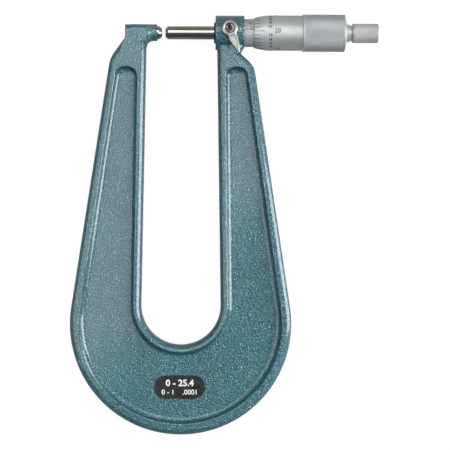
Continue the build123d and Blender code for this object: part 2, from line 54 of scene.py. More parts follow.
# One shader node. inputs maps a socket's name or number to a value or to another node's output.
def addNode(tree, kind, inputs=None, **settings):
    node = tree.nodes.new(kind)
    for key, value in settings.items():
        setattr(node, key, value)
    for key, value in (inputs or {}).items():
        if isinstance(value, bpy.types.NodeSocket):
            tree.links.new(value, node.inputs[key])
        else:
            node.inputs[key].default_value = value
    return node


def mathNode(tree, operation, first, second, clamp=False):
    node = addNode(tree, "ShaderNodeMath", {0: first, 1: second}, operation=operation, use_clamp=clamp)
    return node.outputs[0]


def mapRange(tree, value, low, high, toLow=0.0, toHigh=1.0):
    inputs = {"Value": value, "From Min": low, "From Max": high, "To Min": toLow, "To Max": toHigh}
    return addNode(tree, "ShaderNodeMapRange", inputs).outputs["Result"]


def noise(tree, position, density, detail):
    inputs = {"Vector": position, "Scale": density, "Detail": detail}
    return addNode(tree, "ShaderNodeTexNoise", inputs)


def vectorMath(tree, operation, first, second):
    return addNode(tree, "ShaderNodeVectorMath", {0: first, 1: second}, operation=operation)


def mixColour(tree, factor, first, second):
    node = addNode(tree, "ShaderNodeMix", data_type="RGBA")
    for name, value in (("Factor_Float", factor), ("A_Color", first), ("B_Color", second)):
        socket = next(s for s in node.inputs if s.identifier == name)
        if isinstance(value, bpy.types.NodeSocket):
            tree.links.new(value, socket)
        else:
            socket.default_value = value if name == "Factor_Float" else (*value, 1.0)
    return next(s for s in node.outputs if s.identifier == "Result_Color")


# An empty node group with a position input, one float input per (label, value) and float outputs.
def newGroup(name, inputs, outputs):
    group = bpy.data.node_groups.new(name, "ShaderNodeTree")
    group.interface.new_socket("Position", in_out="INPUT", socket_type="NodeSocketVector")
    for label, value in inputs:
        socket = group.interface.new_socket(label, in_out="INPUT", socket_type="NodeSocketFloat")
        socket.default_value = value
    for label in outputs:
        group.interface.new_socket(label, in_out="OUTPUT", socket_type="NodeSocketFloat")
    return group, group.nodes.new("NodeGroupInput"), group.nodes.new("NodeGroupOutput")


# Shared effects. Densities are per metre.
hammer = {
    "islands": 1100.0,
    "wander": 0.0005,
    "edgeWidth": 0.35,
    "islandShare": 0.4,
    "rippleShare": 1.2,
    "clouds": 45.0,
}


# Hammered paint: rounded islands of paint with sunk, wandering lines between them. The position is pushed about
# by wander times a noise less its middle, so that the cells' edges wander.
def hammerGroup():
    group, given, result = newGroup(
        "hammerFinish",
        [("Islands per Metre", hammer["islands"]), ("Wander", hammer["wander"])],
        ["Height", "Valley", "Cloud"],
    )
    position, density, wander = given.outputs[0], given.outputs[1], given.outputs[2]
    swirl = noise(group, position, density, 1.0).outputs["Color"]
    centred = vectorMath(group, "SUBTRACT", swirl, (0.5, 0.5, 0.5)).outputs[0]
    pushed = addNode(group, "ShaderNodeVectorMath", {0: centred, "Scale": wander}, operation="SCALE")
    moved = vectorMath(group, "ADD", position, pushed.outputs[0]).outputs[0]
    cellInputs = {"Vector": moved, "Scale": density}
    cells = addNode(group, "ShaderNodeTexVoronoi", cellInputs, feature="DISTANCE_TO_EDGE")
    island = mapRange(group, cells.outputs["Distance"], 0.0, hammer["edgeWidth"])
    ripple = noise(group, moved, density, 0.0).outputs[0]
    raised = mathNode(group, "MULTIPLY", island, hammer["islandShare"])
    rippled = mathNode(group, "MULTIPLY", ripple, hammer["rippleShare"])
    group.links.new(mathNode(group, "ADD", raised, rippled), result.inputs["Height"])
    group.links.new(mathNode(group, "SUBTRACT", 1.0, island), result.inputs["Valley"])
    group.links.new(noise(group, position, hammer["clouds"], 3.0).outputs[0], result.inputs["Cloud"])
    return group


# Fine marks whose depth is a noise of the position stretched by stretch, and a coarser smudge in place.
def marksGroup(name, label, density, stretch, smudges, smudgeDetail):
    group, given, result = newGroup(name, [(label, density)], ["Height", "Smudge"])
    stretched = addNode(group, "ShaderNodeMapping", {"Vector": given.outputs[0], "Scale": stretch})
    marks = noise(group, stretched.outputs[0], given.outputs[1], 2.0)
    smudge = noise(group, given.outputs[0], smudges, smudgeDetail)
    group.links.new(marks.outputs[0], result.inputs["Height"])
    group.links.new(smudge.outputs[0], result.inputs["Smudge"])
    return group


hammerFinish = hammerGroup()
# Turning or grinding marks: rings round the X axis, broken up a little on their way round it.
turningMarks = marksGroup("turningMarks", "Rings per Metre", 9000.0, (1.0, 0.02, 0.02), 160.0, 4.0)
# Blasted or moulded grain: fine even pits.
blastGrain = marksGroup("blastGrain", "Grains per Metre", 6000.0, (1.0, 1.0, 1.0), 220.0, 3.0)


# Finishes
def newMaterial(name):
    material = bpy.data.materials.new(name)
    material.use_nodes = True
    tree = material.node_tree
    shader = tree.nodes["Principled BSDF"]
    position = tree.nodes.new("ShaderNodeTexCoord").outputs["Object"]
    return material, tree, shader, position


# A bump from the node's Height, depth metres deep, on the shader.
def addBump(tree, shader, marks, depth):
    inputs = {"Height": marks.outputs["Height"], "Distance": depth, "Strength": 1.0}
    tree.links.new(addNode(tree, "ShaderNodeBump", inputs).outputs[0], shader.inputs["Normal"])


paint = {
    "light": (0.033, 0.150, 0.180),
    "dark": (0.010, 0.060, 0.082),
    "valleyShare": 0.75,
    "cloudShare": 0.25,
    "gloss": (0.22, 0.30),
    "depth": 0.00042,
    "shader": {
        "Metallic": 0.1,
        "Specular IOR Level": 1.0,
        "Specular Tint": (0.72, 0.98, 1.0, 1.0),
        "Coat Weight": 1.0,
        "Coat Roughness": 0.11,
    },
}


# Paint that darkens in the lines between its islands and a little in slow clouds.
def hammeredPaint():
    material, tree, shader, position = newMaterial("hammeredPaint")
    marks = addNode(tree, "ShaderNodeGroup", node_tree=hammerFinish)
    tree.links.new(position, marks.inputs["Position"])
    valley = mathNode(tree, "MULTIPLY", marks.outputs["Valley"], paint["valleyShare"])
    cloud = mapRange(tree, marks.outputs["Cloud"], *noiseRange, 0.0, paint["cloudShare"])
    shade = mathNode(tree, "ADD", valley, cloud, clamp=True)
    tree.links.new(mixColour(tree, shade, paint["light"], paint["dark"]), shader.inputs["Base Color"])
    gloss = mapRange(tree, marks.outputs["Valley"], 0.0, 1.0, *paint["gloss"])
    tree.links.new(gloss, shader.inputs["Roughness"])
    addBump(tree, shader, marks, paint["depth"])
    for name, value in paint["shader"].items():
        shader.inputs[name].default_value = value
    return material


# A finish with fine marks. look holds its colour and the shade it changes to, its roughness range, the marks'
# depth and its metallic share, and can hold a colour that a share stored on the mesh brings out: painted shade
# in the knurl's grooves and wear on the lock screw's edge.
def markedFinish(name, group, label, density, look):
    material, tree, shader, position = newMaterial(name)
    marks = addNode(tree, "ShaderNodeGroup", node_tree=group)
    tree.links.new(position, marks.inputs["Position"])
    marks.inputs[label].default_value = density
    smudge = marks.outputs["Smudge"]
    colour = mixColour(tree, mapRange(tree, smudge, *noiseRange), look["colour"], look["shade"])
    if "grooveShadeAndWear" in look:
        share = addNode(tree, "ShaderNodeAttribute", attribute_name="grooveShadeAndWear").outputs["Fac"]
        colour = mixColour(tree, share, colour, look["grooveShadeAndWear"])
    tree.links.new(colour, shader.inputs["Base Color"])
    tree.links.new(mapRange(tree, smudge, *wideNoiseRange, *look["gloss"]), shader.inputs["Roughness"])
    addBump(tree, shader, marks, look["depth"])
    shader.inputs["Metallic"].default_value = look["metallic"]
    return material


# A turned, ground or plated metal.
def turnedMetal(name, rings, look):
    return markedFinish(name, turningMarks, "Rings per Metre", rings, look)


# A blasted metal, rubber, moulded or printed finish with a fine even grain.
def grainedFinish(name, grains, look):
    return markedFinish(name, blastGrain, "Grains per Metre", grains, look)


finishes = {
    "hammeredPaint": hammeredPaint(),
    # Its darkest colour is painted shade in the knurl's grooves.
    "satinChrome": turnedMetal("satinChrome", 9000.0, {
        "colour": (0.53, 0.55, 0.55), "shade": (0.49, 0.51, 0.51), "grooveShadeAndWear": (0.27, 0.28, 0.29),
        "gloss": (0.48, 0.54), "depth": 0.000003, "metallic": 0.65}),
    "sleeveChrome": turnedMetal("sleeveChrome", 9000.0, {
        "colour": (0.43, 0.445, 0.45), "shade": (0.395, 0.41, 0.415),
        "gloss": (0.50, 0.56), "depth": 0.000003, "metallic": 0.55}),
    "groundSteel": turnedMetal("groundSteel", 14000.0, {
        "colour": (0.40, 0.39, 0.355), "shade": (0.36, 0.35, 0.32),
        "gloss": (0.07, 0.13), "depth": 0.000002, "metallic": 1.0}),
    "carbide": turnedMetal("carbide", 16000.0, {
        "colour": (0.36, 0.36, 0.37), "shade": (0.30, 0.30, 0.31),
        "gloss": (0.14, 0.20), "depth": 0.000001, "metallic": 1.0}),
    "innerSteel": turnedMetal("innerSteel", 7000.0, {
        "colour": (0.42, 0.41, 0.39), "shade": (0.34, 0.33, 0.32),
        "gloss": (0.28, 0.40), "depth": 0.000005, "metallic": 1.0}),
    "springSteel": turnedMetal("springSteel", 5000.0, {
        "colour": (0.34, 0.33, 0.31), "shade": (0.26, 0.25, 0.24),
        "gloss": (0.24, 0.34), "depth": 0.000002, "metallic": 1.0}),
    "knobSatin": grainedFinish("knobSatin", 7000.0, {
        "colour": (0.46, 0.46, 0.44), "shade": (0.42, 0.42, 0.405),
        "gloss": (0.46, 0.54), "depth": 0.000006, "metallic": 0.5}),
    "leverSatin": grainedFinish("leverSatin", 7000.0, {
        "colour": (0.31, 0.33, 0.32), "shade": (0.28, 0.30, 0.29),
        "gloss": (0.30, 0.38), "depth": 0.000004, "metallic": 0.8}),
    "blackScrew": grainedFinish("blackScrew", 9000.0, {
        "colour": (0.030, 0.030, 0.032), "shade": (0.020, 0.020, 0.021), "grooveShadeAndWear": (0.30, 0.30, 0.29),
        "gloss": (0.08, 0.14), "depth": 0.000002, "metallic": 0.9}),
    "sealRubber": grainedFinish("sealRubber", 8000.0, {
        "colour": (0.012, 0.012, 0.014), "shade": (0.020, 0.020, 0.022),
        "gloss": (0.45, 0.60), "depth": 0.000006, "metallic": 0.0}),
    "padBrass": grainedFinish("padBrass", 8000.0, {
        "colour": (0.60, 0.42, 0.18), "shade": (0.52, 0.36, 0.15),
        "gloss": (0.28, 0.38), "depth": 0.000003, "metallic": 1.0}),
    "plateBlack": grainedFinish("plateBlack", 5000.0, {
        "colour": (0.007, 0.007, 0.0075), "shade": (0.011, 0.011, 0.0115),
        "gloss": (0.22, 0.30), "depth": 0.000002, "metallic": 0.0}),
    "scaleInk": grainedFinish("scaleInk", 9000.0, {
        "colour": (0.010, 0.010, 0.011), "shade": (0.016, 0.016, 0.016),
        "gloss": (0.65, 0.75), "depth": 0.000002, "metallic": 0.0}),
    "plateWhite": grainedFinish("plateWhite", 9000.0, {
        "colour": (0.80, 0.80, 0.79), "shade": (0.72, 0.72, 0.71),
        "gloss": (0.40, 0.50), "depth": 0.000002, "metallic": 0.0}),
}

nodeFinish = {
    "frame": "hammeredPaint", "name_plate": "plateBlack", "anvil": "groundSteel", "anvil_tip": "carbide",
    "spindle": "groundSteel", "spindle_tip": "carbide", "inner_sleeve": "innerSteel",
    "wiper_ring": "sealRubber", "outer_sleeve": "sleeveChrome", "adjusting_nut": "innerSteel",
    "thimble": "satinChrome", "thimble_cap": "satinChrome", "ratchet_shaft": "satinChrome",
    "ratchet_spring": "springSteel",
    "ratchet_click": "innerSteel", "ratchet_knob": "knobSatin", "ratchet_screw": "innerSteel",
    "lock_lever": "leverSatin", "lock_screw": "blackScrew", "lock_pad": "padBrass",
}
for nodeName, finishName in nodeFinish.items():
    materials = nodes[nodeName].data.materials
    materials.clear()
    materials.append(finishes[finishName])
print("finishes placed:", len(finishes))


# Mesh helpers
sharpAngle = math.radians(32.0)


# Puts a finished mesh into the scene under its own name, at the origin, smooth but for edges sharper than
# sharpAngle.
def finishPiece(mesh, finish, body):
    mesh.validate()
    mesh.shade_smooth()
    mesh.set_sharp_from_angle(angle=sharpAngle)
    mesh.materials.append(finishes[finish])
    piece = bpy.data.objects.new(mesh.name, mesh)
    bpy.context.scene.collection.objects.link(piece)
    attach(piece, body)
    return piece


# points is (n, 3) in metres, faces is (m, 3) or (m, 4) of point numbers.
def meshFromFaces(name, points, faces):
    mesh = bpy.data.meshes.new(name)
    count, corners = faces.shape
    mesh.vertices.add(len(points))
    mesh.vertices.foreach_set("co", points.astype(np.float32).ravel())
    mesh.loops.add(count * corners)
    mesh.loops.foreach_set("vertex_index", faces.astype(np.int32).ravel())
    mesh.polygons.add(count)
    mesh.polygons.foreach_set("loop_start", np.arange(0, count * corners, corners, dtype=np.int32))
    mesh.update(calc_edges=True)
    return mesh


# Closed surface from rings of points, (rings, places, 3): both directions join up with themselves.
def loopMesh(name, points):
    rings, places = points.shape[:2]
    i, j = np.meshgrid(np.arange(rings), np.arange(places), indexing="ij")
    here, ahead = i * places, (i + 1) % rings * places
    beside = (j + 1) % places
    faces = np.stack([here + j, ahead + j, ahead + beside, here + beside], axis=-1)
    return meshFromFaces(name, points.reshape(-1, 3), faces.reshape(-1, 4))


# Closed turned surface. Ring i, place j is (along, radius sin turn, radius cos turn): the profile goes
# round the wall's section once, out along the outside and back through the bore, and joins up with itself.
def ringMesh(name, along, radius, turn):
    return loopMesh(name, np.stack([along, radius * np.sin(turn), radius * np.cos(turn)], axis=-1))


# Stores a share from 0 to 1 for each vertex, which a finish with a colour for it shows: painted shade in the
# knurl's grooves, and wear on the lock screw.
def markPoints(mesh, shares):
    grooveShadeAndWear = mesh.attributes.new("grooveShadeAndWear", "FLOAT", "POINT")
    grooveShadeAndWear.data.foreach_set("value", shares.astype(np.float32).ravel())


# Each corner of the closed section becomes two points, size away from it along each side, or a third of a
# short side.
def breakCorners(profile, size):
    before, after = np.roll(profile, 1, axis=0) - profile, np.roll(profile, -1, axis=0) - profile
    lengthBefore = np.linalg.norm(before, axis=1, keepdims=True)
    lengthAfter = np.linalg.norm(after, axis=1, keepdims=True)
    first = profile + before / lengthBefore * np.minimum(size, lengthBefore / 3)
    second = profile + after / lengthAfter * np.minimum(size, lengthAfter / 3)
    return np.stack([first, second], axis=1).reshape(-1, 2)


# Thimble with its knurled grip
thimbleLow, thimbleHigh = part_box("thimble")
thimble = {
    "start": thimbleLow.x,
    "end": thimbleHigh.x,
    "lipRadius": 7.2 * mm,
    "plainRadius": 8.5 * mm,
    "gripRadius": thimbleHigh.z,
    "bevelLength": 6.4 * mm,
    "bevelCurve": 40.0 * mm,
    "bevelStations": 14,
    "plainLength": 23.51 * mm,
    "gripStep": 0.35 * mm,
    "gripMargin": 0.45 * mm,
    "boreRadius": 6.9 * mm,
    "wallFromEnd": 12.11 * mm,
    "taperLength": 9.0 * mm,
    "taperBig": 3.6 * mm,
    "taperSmall": 3.0 * mm,
    "endBore": 4.2 * mm,
    "cornerBreak": 0.08 * mm,
    "diamondsRound": 52,
    "samplesPerDiamond": 8,
    "knurlDepth": 0.20 * mm,
    "knurlFlat": 0.66,
}


# Outside radius of the scale bevel: an arc of bevelCurve through the lip and the bevel's end, bulging outwards.
def bevelRadius(x):
    run, rise = thimble["bevelLength"], thimble["plainRadius"] - thimble["lipRadius"]
    chord = math.hypot(run, rise)
    sag = math.sqrt(thimble["bevelCurve"] ** 2 - chord**2 / 4)
    centreX = thimble["start"] + run / 2 + rise / chord * sag
    centreR = thimble["lipRadius"] + rise / 2 - run / chord * sag
    curved = centreR + np.sqrt(thimble["bevelCurve"] ** 2 - (x - centreX) ** 2)
    return np.where(x < thimble["start"] + run, curved, thimble["plainRadius"])


# Diamond knurl, 0 in the grooves and 1 on the flats: two families of V grooves run where p = turn + x and
# q = turn - x, both counted in diamonds, are whole. The height grows with the distance from the nearer groove
# and is cut off flat at knurlFlat.
def knurlHeight(x, turn, pitch):
    places = turn / (2 * math.pi) * thimble["diamondsRound"]
    p, q = places + x / pitch, places - x / pitch
    nearest = np.maximum(np.abs(2 * (p % 1.0) - 1), np.abs(2 * (q % 1.0) - 1))
    return np.minimum((1 - nearest) / thimble["knurlFlat"], 1.0)


# Thimble as one turned section with the knurl sunk into its grip. The section starts at the lip, goes out along
# the outside to the end and comes back through the bores.
def makeThimble():
    start, end, grip = thimble["start"], thimble["end"], thimble["gripRadius"]
    gripStart = start + thimble["plainLength"]
    wall = end - thimble["wallFromEnd"]
    taperEnd = wall + thimble["taperLength"]
    pitch = 2 * math.pi * grip / thimble["diamondsRound"]
    step = pitch / thimble["samplesPerDiamond"]
    knurlLow = gripStart + thimble["gripStep"] + thimble["gripMargin"]
    knurlHigh = end - thimble["gripMargin"]
    count = int((knurlHigh - knurlLow) / pitch) * thimble["samplesPerDiamond"]
    knurlX = (knurlLow + knurlHigh) / 2 + (np.arange(count + 1) - count / 2) * step
    bevelX = np.linspace(start, start + thimble["bevelLength"], thimble["bevelStations"])
    bevel = np.stack([bevelX, bevelRadius(bevelX)], axis=1)
    gripEdge = [[gripStart, thimble["plainRadius"]], [gripStart + thimble["gripStep"], grip]]
    inside = [
        [end, grip],
        [end, thimble["endBore"]],
        [taperEnd, thimble["endBore"]],
        [taperEnd, thimble["taperSmall"]],
        [wall, thimble["taperBig"]],
        [wall, thimble["boreRadius"]],
        [start, thimble["boreRadius"]],
    ]
    corners = breakCorners(np.concatenate([bevel[:1], gripEdge, inside]), thimble["cornerBreak"])
    lip, gripCorners, rest = corners[:2], corners[2:6], corners[6:]
    outside = np.concatenate([lip, bevel[1:], gripCorners])
    knurl = np.stack([knurlX, np.full_like(knurlX, grip)], axis=1)
    profile = np.concatenate([outside, knurl, rest])
    places = thimble["diamondsRound"] * thimble["samplesPerDiamond"]
    turn = np.arange(places) / places * 2 * math.pi
    along = np.repeat(profile[:, :1], places, axis=1)
    radius = np.repeat(profile[:, 1:], places, axis=1)
    knurled = slice(len(outside), len(outside) + len(knurlX))
    groove = 1 - knurlHeight(knurlX[:, None] - knurlX[0], turn[None, :], pitch)
    radius[knurled] -= thimble["knurlDepth"] * groove
    mesh = ringMesh("thimble_knurled", along, radius, turn[None, :])
    # Painted shade: the deeper a point lies in a groove, the more it takes the chrome's darkest colour.
    grooves = np.zeros_like(radius)
    grooves[knurled] = groove
    markPoints(mesh, grooves)
    piece = finishPiece(mesh, "satinChrome", "screw")
    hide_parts("thimble")


makeThimble()
print("thimble made")


# Ratchet knob with straight ribs
knobLow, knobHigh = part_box("ratchet_knob")
knob = {
    "start": knobLow.x,
    "end": knobHigh.x,
    "radius": knobHigh.z,
    "cavityRadius": 3.75 * mm,
    "webStart": 6.7 * mm,
    "webThickness": 2.7 * mm,
    "pinBore": 1.85 * mm,
    "recessRadius": 3.4 * mm,
    "rimLength": 1.3 * mm,
    "ribFade": 0.25 * mm,
    "ribMargin": 0.15 * mm,
    "ribCount": 60,
    "samplesPerRib": 8,
    "ribDepth": 0.10 * mm,
    "startEdge": 0.3 * mm,
    "startRound": (0.12 * mm, 0.09 * mm),
    "endEdge": 0.4 * mm,
    "endRound": (0.14 * mm, 0.12 * mm),
}


# Turned knob whose outside sinks between straight ribs: the depth follows the square of a cosine round the
# axis, so that each rib has a rounded crest. Only the two rings between the fades at the ribs' ends sink.
def makeKnob():
    start, end, radius = knob["start"], knob["end"], knob["radius"]
    ribLow, ribHigh = start + knob["rimLength"], end - knob["endEdge"] - knob["ribMargin"]
    webStart = start + knob["webStart"]
    webEnd = webStart + knob["webThickness"]
    rim = [
        [start, knob["cavityRadius"]],
        [start, radius - knob["startEdge"]],
        [start + knob["startRound"][0], radius - knob["startRound"][1]],
        [start + knob["startEdge"], radius],
        [ribLow, radius],
    ]
    ribs = [[ribLow + knob["ribFade"], radius], [ribHigh - knob["ribFade"], radius]]
    rest = [
        [ribHigh, radius],
        [end - knob["endEdge"], radius],
        [end - knob["endRound"][0], radius - knob["endRound"][1]],
        [end, radius - knob["endEdge"]],
        [end, knob["recessRadius"]],
        [webEnd, knob["recessRadius"]],
        [webEnd, knob["pinBore"]],
        [webStart, knob["pinBore"]],
        [webStart, knob["cavityRadius"]],
    ]
    profile = np.array(rim + ribs + rest)
    places = knob["ribCount"] * knob["samplesPerRib"]
    turn = np.arange(places) / places * 2 * math.pi
    along = np.repeat(profile[:, :1], places, axis=1)
    rings = np.repeat(profile[:, 1:], places, axis=1)
    groove = np.cos(turn * knob["ribCount"] / 2) ** 2
    rings[len(rim) : len(rim) + len(ribs)] -= knob["ribDepth"] * groove
    mesh = ringMesh("ratchet_knob_ribbed", along, rings, turn[None, :])
    piece = finishPiece(mesh, "knobSatin", "knob")
    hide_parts("ratchet_knob")


makeKnob()
print("ratchet knob made")


# Lock lever
lever = {
    "centre": (33.1 * mm, 1.1 * mm),
    "armAngle": math.radians(22.0),
    "ringRadius": 3.9 * mm,
    "holeRadius": 1.5 * mm,
    "recessRadius": 2.35 * mm,
    "recessFloor": 8.2 * mm,
    "bottom": 7.25 * mm,
    "armBottom": 8.8 * mm,
    "top": 9.9 * mm,
    "armStep": 0.15 * mm,
    "armStepFrom": 0.85,
    "armStepTo": 1.15,
    "armStart": 3.2 * mm,
    "rootX": 2.9 * mm,
    "tipX": 12.25 * mm,
    "tipRadius": 0.45 * mm,
    "halfWidths": (2.30 * mm, -0.55 * mm, -1.30 * mm),
    "edgeDrop": 0.42 * mm,
    "edgeWidth": 1.5 * mm,
    "rimDrop": 0.25 * mm,
    "rimWidth": 0.4 * mm,
    "armPlaces": 56,
    "tipPlaces": 6,
    "ringPlaces": 72,
    "ringClear": 0.005 * mm,
    "stations": 26,
}


# Half the arm's width at x along it: the root's, less a straight and a square part of the way to the tip.
def armHalfWidth(x):
    way = (x - lever["rootX"]) / (lever["tipX"] - lever["rootX"])
    first, straight, square = lever["halfWidths"]
    return first + straight * way + square * way**2


# Points at radius, heading and height round the lock screw's axis.
def aroundScrew(radius, heading, height):
    x = lever["centre"][0] + radius * np.cos(heading)
    y = lever["centre"][1] + radius * np.sin(heading)
    return np.stack([x, y, height], axis=-1)


# The lever in polar places round its screw. Its outline is the ring's circle or, where that lies farther out,
# the arm's side and the tip's half circle. The top is level in the middle and falls towards the outline with
# the square of the nearness to it, and in the same way towards the screw's recess.
def makeLever():
    ring, recess, tipX, tip = lever["ringRadius"], lever["recessRadius"], lever["tipX"], lever["tipRadius"]
    alongArm = np.linspace(lever["armStart"], tipX, lever["armPlaces"])
    bend = np.linspace(0.0, math.pi / 2, lever["tipPlaces"] + 1)[1:]
    sideX = np.concatenate([alongArm, tipX + tip * np.sin(bend)])
    sideY = np.concatenate([armHalfWidth(alongArm), tip * np.cos(bend)])
    angle, reach = np.arctan2(sideY, sideX), np.hypot(sideX, sideY)
    rest = np.linspace(angle[0], 2 * math.pi - angle[0], lever["ringPlaces"] + 2)[1:-1]
    turn = np.concatenate([angle, -angle[-2::-1], -rest])
    outline = np.concatenate([reach, reach[-2::-1], np.full_like(rest, ring)])
    outline = np.maximum(outline, ring + lever["ringClear"])
    share = np.linspace(1.0, 0.0, lever["stations"])[:, None]
    top = recess + (outline - recess) * share
    x, y = top * np.cos(turn), top * np.sin(turn)
    inArm = np.where(x > tipX, tip - np.hypot(x - tipX, y), armHalfWidth(x) - np.abs(y))
    inside = np.maximum(ring - top, np.where(x > 0, inArm, -ring))
    nearEdge = np.clip(1 - inside / lever["edgeWidth"], 0.0, 1.0)
    nearRim = np.clip(1 - (top - recess) / lever["rimWidth"], 0.0, 1.0)
    blend = lever["armStepTo"] - lever["armStepFrom"]
    onArm = np.clip((top / ring - lever["armStepFrom"]) / blend, 0.0, 1.0)
    drop = lever["armStep"] * onArm + lever["edgeDrop"] * nearEdge**2 + lever["rimDrop"] * nearRim**2
    full = np.ones_like(turn)
    radius = np.concatenate([
        [full * lever["holeRadius"], full * ring, full * ring, outline],
        top,
        [full * recess, full * lever["holeRadius"]],
    ])
    height = np.concatenate([
        [full * lever[level] for level in ("bottom", "bottom", "armBottom", "armBottom")],
        lever["top"] - drop,
        [full * lever["recessFloor"], full * lever["recessFloor"]],
    ])
    mesh = loopMesh("lock_lever_rounded", aroundScrew(radius, turn + lever["armAngle"] - math.pi / 2, height))
    piece = finishPiece(mesh, "leverSatin", "lever")
    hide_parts("lock_lever")


# Lock screw
screw = {
    "socketHalf": 1.05 * mm,
    "socketFloor": 8.55 * mm,
    "drillPoint": 8.45 * mm,
    "socketTop": 9.22 * mm,
    "dishRadius": 1.75 * mm,
    "headRadius": 2.1 * mm,
    "headRound": 0.2 * mm,
    "headTop": 9.5 * mm,
    "headBottom": 8.2 * mm,
    "threadRadius": 1.5 * mm,
    "bottom": 4.235 * mm,
    "hairline": 0.02 * mm,
    "places": 72,
}


# Socket screw from the socket's floor out over the head and down the thread. Round the socket the radius is its
# half width over the cosine of the turn from the nearest flat's middle, and a shallow cone leads down to it. A
# bore as thin as a hair runs through the middle, since the surface is a closed loop. The outer edge of the cone
# is worn bright.
def makeScrew():
    turn = -np.arange(screw["places"]) / screw["places"] * 2 * math.pi
    full = np.ones_like(turn)
    sixth = math.pi / 3
    hexagon = screw["socketHalf"] / np.cos((turn + sixth / 2) % sixth - sixth / 2)
    head, thread, hairline = screw["headRadius"], screw["threadRadius"], screw["hairline"]
    rings = [
        (hairline, screw["drillPoint"], 0.0),
        (hexagon, screw["socketFloor"], 0.0),
        (hexagon, screw["socketTop"], 0.0),
        (screw["dishRadius"], screw["headTop"], 1.0),
        (head - screw["headRound"], screw["headTop"], 0.0),
        (head, screw["headTop"] - screw["headRound"], 0.0),
        (head, screw["headBottom"], 0.0),
        (thread, screw["headBottom"], 0.0),
        (thread, screw["bottom"], 0.0),
        (hairline, screw["bottom"], 0.0),
    ]
    radius, height, worn = (np.stack([full * ring[part] for ring in rings]) for part in range(3))
    mesh = loopMesh("lock_screw_dished", aroundScrew(radius, turn, height))
    markPoints(mesh, worn)
    piece = finishPiece(mesh, "blackScrew", "lever")
    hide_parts("lock_screw")


makeLever()
makeScrew()
print("lock lever and screw made")


# Scales
scale = {
    "zeroX": 43.1 * mm,
    "datumAngle": math.radians(5.8),
    "sleeveRadius": 6.75 * mm,
    "sunk": 0.04 * mm,
    "proud": 0.03 * mm,
    "tick": 0.635 * mm,
    "ticks": 40,
    "ticksPerNumber": 4,
    "tickWidth": 0.19 * mm,
    "tickLength": 1.5 * mm,
    "longTickLength": 2.1 * mm,
    "tickSteps": 6,
    "datumStart": 40.35 * mm,
    "datumEnd": 69.6 * mm,
    "datumSteps": 30,
    "sleeveNumberSize": 2.9 * mm,
    "sleeveNumberShift": 0.52,
    "divisions": 25,
    "divisionsPerMain": 5,
    "main": {"length": 5.0 * mm, "numberX": 54.7 * mm, "numberSize": 3.0 * mm, "bold": 0.02 * mm},
    "between": {"length": 3.1 * mm, "numberX": 51.9 * mm, "numberSize": 1.75 * mm, "bold": 0.05 * mm},
    "markWidth": 0.23 * mm,
    "markInset": 0.15 * mm,
    "markSteps": 10,
    "curveSteps": 3,
    "weld": 0.0001 * mm,
    "longestEdge": 0.30 * mm,
    "cuts": 4,
}


# A thin straight bar along x as points and triangles: four corners carried along steps stations, with both
# ends closed.
def slab(x0, x1, halfWidth, steps):
    low, high = -scale["sunk"], scale["proud"]
    stations = np.linspace(x0, x1, steps + 1)
    corners = np.array([[-halfWidth, low], [halfWidth, low], [halfWidth, high], [-halfWidth, high]])
    points = np.concatenate([np.repeat(stations, 4)[:, None], np.tile(corners, (steps + 1, 1))], axis=1)
    s, c = np.meshgrid(np.arange(steps), np.arange(4), indexing="ij")
    a, b = s * 4 + c, s * 4 + (c + 1) % 4
    sides = np.concatenate([np.stack([a, b, b + 4], axis=-1), np.stack([a, b + 4, a + 4], axis=-1)])
    last = steps * 4
    ends = np.array([[0, 2, 1], [0, 3, 2], [last, last + 1, last + 2], [last, last + 2, last + 3]])
    return points, np.concatenate([sides.reshape(-1, 3), ends])


# The same bar along y, from 0 to length, at x.
def crossBar(x, length, halfWidth, steps):
    points, triangles = slab(0.0, length, halfWidth, steps)
    return np.stack([x - points[:, 1], points[:, 0], points[:, 2]], axis=1), triangles


# A number as points and triangles, flat in x and y. Edges over longestEdge are cut so that it can be bent.
def numeral(text, size, x, y=0.0, align="CENTER", bold=0.0, longestEdge=scale["longestEdge"]):
    curve = bpy.data.curves.new("numeral", "FONT")
    curve.body, curve.size, curve.align_x, curve.align_y = text, size, align, "CENTER"
    curve.extrude = (scale["sunk"] + scale["proud"]) / 2
    curve.offset = bold
    curve.resolution_u = scale["curveSteps"]
    holder = bpy.data.objects.new("numeral", curve)
    bpy.context.scene.collection.objects.link(holder)
    bpy.context.view_layer.update()
    evaluated = holder.evaluated_get(bpy.context.evaluated_depsgraph_get())
    mesh = bpy.data.meshes.new_from_object(evaluated)
    cut = bmesh.new()
    cut.from_mesh(mesh)
    bmesh.ops.remove_doubles(cut, verts=cut.verts, dist=scale["weld"])
    longEdges = [edge for edge in cut.edges if edge.calc_length() > longestEdge]
    bmesh.ops.subdivide_edges(cut, edges=longEdges, cuts=scale["cuts"])
    bmesh.ops.triangulate(cut, faces=cut.faces)
    cut.to_mesh(mesh)
    cut.free()
    points = np.empty(len(mesh.vertices) * 3)
    mesh.vertices.foreach_get("co", points)
    points = points.reshape(-1, 3) + [x, y, (scale["proud"] - scale["sunk"]) / 2]
    triangles = np.empty(len(mesh.polygons) * 3, dtype=np.int64)
    mesh.polygons.foreach_get("vertices", triangles)
    bpy.data.objects.remove(holder)
    bpy.data.curves.remove(curve)
    bpy.data.meshes.remove(mesh)
    return points, triangles.reshape(-1, 3)


# Several (points, triangles) as one.
def joined(parts):
    offsets = np.cumsum([0] + [len(points) for points, _ in parts[:-1]])
    return (
        np.concatenate([points for points, _ in parts]),
        np.concatenate([triangles + offset for (_, triangles), offset in zip(parts, offsets)]),
    )


# Lays a flat part round the X axis: x stays, y becomes an arc from angle at the surface's radius, and z stands
# off it.
def wrapped(part, angle, radiusAt):
    points, triangles = part
    surface = radiusAt(points[:, 0])
    turn = angle + points[:, 1] / surface
    radius = surface + points[:, 2]
    return np.stack([points[:, 0], radius * np.sin(turn), radius * np.cos(turn)], axis=1), triangles


